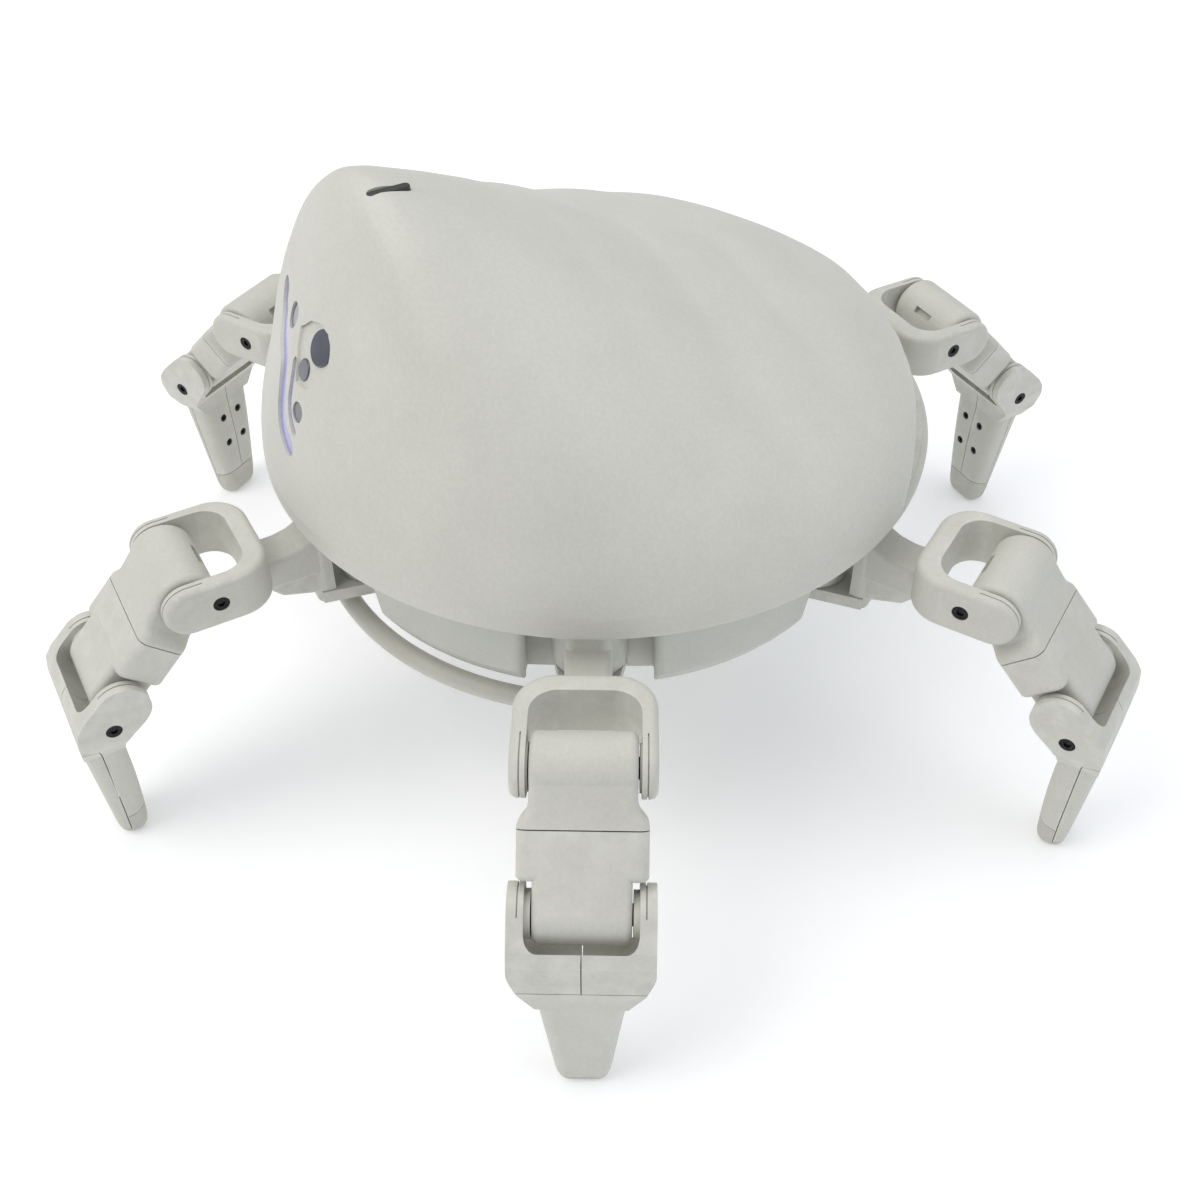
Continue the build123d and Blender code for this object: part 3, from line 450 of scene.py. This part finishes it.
def strip_loop(points, half):
    pts = [(a * MM_PER_DEG, z) for a, z in smooth_line(points)]
    left, right, dirs = [], [], []
    for i, (a, z) in enumerate(pts):
        j0, j1 = max(i - 1, 0), min(i + 1, len(pts) - 1)
        ta, tz = pts[j1][0] - pts[j0][0], pts[j1][1] - pts[j0][1]
        n = math.hypot(ta, tz)
        ta, tz = ta / n, tz / n
        dirs.append(math.atan2(tz, ta))
        left.append((a - tz * half, z + ta * half))
        right.append((a + tz * half, z - ta * half))
    (a0, z0), (a1, z1) = pts[0], pts[-1]
    turns = [1.3, 1.0, 0.7, 0.35, 0.0, -0.35, -0.7, -1.0, -1.3]
    end = [(a1 + half * math.cos(dirs[-1] + g), z1 + half * math.sin(dirs[-1] + g)) for g in turns]
    start = [(a0 + half * math.cos(dirs[0] + math.pi + g), z0 + half * math.sin(dirs[0] + math.pi + g)) for g in turns]
    return [(a / MM_PER_DEG, z) for a, z in left + end + right[::-1] + start]


def block(name, near, far):
    """Closed prism between two matching outlines."""
    b = bmesh.new()
    a = [b.verts.new(q) for q in near]
    c = [b.verts.new(q) for q in far]
    n = len(a)
    for i in range(n):
        k = (i + 1) % n
        b.faces.new([a[i], a[k], c[k], c[i]])
    b.faces.new(a[::-1])
    b.faces.new(c)
    bmesh.ops.triangulate(b, faces=b.faces[:])
    bmesh.ops.recalc_face_normals(b, faces=b.faces[:])
    me = bpy.data.meshes.new(name)
    b.to_mesh(me)
    b.free()
    return me


def loop_block(name, loop, r0=82.0, r1=118.0):
    def ring(r):
        return [(r * math.cos(math.radians(a)), r * math.sin(math.radians(a)), z) for a, z in loop]
    return block(name, ring(r0), ring(r1))


def rod(name, c, n, r, back, front, seg=56):
    n = n.normalized()
    u = n.orthogonal().normalized()
    v = n.cross(u)
    circ = [u * (r * math.cos(2 * math.pi * k / seg)) + v * (r * math.sin(2 * math.pi * k / seg)) for k in range(seg)]
    return block(name, [c - n * back + q for q in circ], [c + n * front + q for q in circ])


def slot_block(name, at, length, width, z0, z1):
    h, r = (length - width) / 2, width / 2
    pts = [(at[0] + h + r * math.cos(t), at[1] + r * math.sin(t)) for t in [math.pi * (k / 12 - 0.5) for k in range(13)]]
    pts += [(at[0] - h - r * math.cos(t), at[1] - r * math.sin(t)) for t in [math.pi * (k / 12 - 0.5) for k in range(13)]]
    return block(name, [(x, y, z0) for x, y in pts], [(x, y, z1) for x, y in pts])


def as_object(me):
    o = bpy.data.objects.new(me.name, me)
    scene.collection.objects.link(o)
    return o


def subtract(target, tool_mesh):
    tool = as_object(tool_mesh)
    for own in (False, True):
        mod = target.modifiers.new("cut", "BOOLEAN")
        mod.operation = "DIFFERENCE"
        mod.solver = "EXACT"
        mod.use_self = own
        mod.object = tool
        bpy.context.view_layer.update()
        got = bpy.data.meshes.new_from_object(target.evaluated_get(bpy.context.evaluated_depsgraph_get()))
        target.modifiers.clear()
        if len(got.polygons) > 50:
            target.data = got
            break
    bpy.data.objects.remove(tool)


skin = as_object(dome_mesh("head_shell_skin", 0.0))
pocket = as_object(loop_block("pocket_tool", POCKET))
subtract(pocket, dome_mesh("inset_dome", 0.9, lip=False))
pocket_mesh = pocket.data
bpy.data.objects.remove(pocket)
for tool in [slot_block("button_tool", BUTTON_AT, 12.6, 2.9, head_z(*BUTTON_AT) - 12, head_z(*BUTTON_AT) + 9),
             loop_block("inner_tool", strip_loop(INNER_LINE, 1.4)), loop_block("visor_tool", strip_loop(VISOR_LINE, 3.5)), pocket_mesh]:
    subtract(skin, tool)
for k, (az, z, r) in enumerate(LENSES):
    c, n = surface_at(az, z)
    subtract(skin, rod("lens_tool%d" % k, c, n, r, 9, 9))

me = skin.data
me.name = "head_shell_skin"
custom = [None] * len(me.loops)
co = [v.co.copy() for v in me.vertices]


def on_outer(q):
    r = math.hypot(q.x, q.y)
    if q.z <= RIM_Z + 0.01:
        return r > RIM_R - 0.02 and q.z > LIP_Z0 + 0.8
    if r > RIM_R - 0.02:
        return True
    z = q.z if q.z < CROWN_Z else CROWN_Z + (q.z - CROWN_Z) / CROWN_SQUEEZE
    gap = z - head_z(q.x, q.y)
    n = surface_normal(q.x, q.y)
    return abs(gap * n.z) < 0.06


flags = [on_outer(q) for q in co]
for poly in me.polygons:
    poly.use_smooth = True
    outside = all(flags[i] for i in poly.vertices)
    for li in poly.loop_indices:
        q = co[me.loops[li].vertex_index]
        if outside:
            n = surface_normal(q.x, q.y) if q.z > RIM_Z + 0.01 else Vector((q.x, q.y, 0)).normalized()
            custom[li] = n if n.dot(poly.normal) > 0.5 else poly.normal.copy()
        else:
            custom[li] = poly.normal.copy()
me.normals_split_custom_set([tuple(n) for n in custom])
# ledge that the head floor sits on
lm = bmesh.new()
prof = [(98.0, 108.3), (105.8, 108.3), (105.8, 110.6), (98.0, 110.6)]
loops = [[lm.verts.new((r * math.cos(2 * math.pi * i / 192), r * math.sin(2 * math.pi * i / 192), z)) for i in range(192)] for r, z in prof]
for a, b in zip(loops, loops[1:] + loops[:1]):
    for i in range(192):
        k = (i + 1) % 192
        lm.faces.new([a[i], a[k], b[k], b[i]])
bmesh.ops.recalc_face_normals(lm, faces=lm.faces[:])
ledge_mesh = bpy.data.meshes.new("head_shell_ledge")
lm.to_mesh(ledge_mesh)
lm.free()
ledge = as_object(ledge_mesh)

place = Matrix.Rotation(math.radians(HEAD_AZ), 4, "Z") @ Matrix.Scale(0.001, 4)
for o in (skin, ledge):
    o.data.transform(place)
    o.data.materials.clear()
    o.data.materials.append(SHELL)
    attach(o, "head")
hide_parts("head_shell")

# ------------------------------------------------------------------- stage
floor_mesh = bpy.data.meshes.new("floor")
bm = bmesh.new()
bmesh.ops.create_grid(bm, x_segments=8, y_segments=8, size=4.0)
bm.to_mesh(floor_mesh)
bm.free()
floor = bpy.data.objects.new("floor", floor_mesh)
floor.location = (0, 0, -0.0002)
scene.collection.objects.link(floor)
fm, nt, bsdf, coord = base_material("floor_paint")
fn = noise(nt, coord, 3.0, 3.0, 0.5, -900, 0)
fr = ramp(nt, fn.outputs["Fac"], [(0.3, (0.92, 0.92, 0.925, 1)), (0.7, (0.935, 0.935, 0.94, 1))], -600, 0)
nt.links.new(fr.outputs["Color"], bsdf.inputs["Base Color"])
bsdf.inputs["Roughness"].default_value = 0.95
bsdf.inputs["Specular IOR Level"].default_value = 0.05
bsdf.inputs["Emission Color"].default_value = (0.97, 0.98, 1.0, 1)
bsdf.inputs["Emission Strength"].default_value = 0.22
floor_mesh.materials.append(fm)

world = bpy.data.worlds.new("world")
scene.world = world
world.use_nodes = True
bg = world.node_tree.nodes["Background"]
bg.inputs["Color"].default_value = (0.90, 0.94, 1.0, 1)
bg.inputs["Strength"].default_value = 0.50


def area(name, at, to, size, power, color):
    d = bpy.data.lights.new(name, "AREA")
    d.shape = "DISK"
    d.size = size
    d.energy = power
    d.color = color
    o = bpy.data.objects.new(name, d)
    o.location = at
    o.rotation_mode = "QUATERNION"
    o.rotation_quaternion = (Vector(to) - Vector(at)).to_track_quat("-Z", "Y")
    scene.collection.objects.link(o)
    return o


# right of the camera is about (-0.87, 0.48); light comes from the upper left
area("key", (0.95, -0.05, 1.25), (0, 0, 0.08), 1.0, 7.6, (1.0, 0.965, 0.91))
area("top", (-0.1, -0.25, 1.6), (0, 0, 0.08), 1.6, 9.0, (1.0, 0.99, 0.97))
area("fill", (-0.9, 0.9, 0.9), (0, 0, 0.08), 1.4, 3.2, (0.93, 0.96, 1.0))
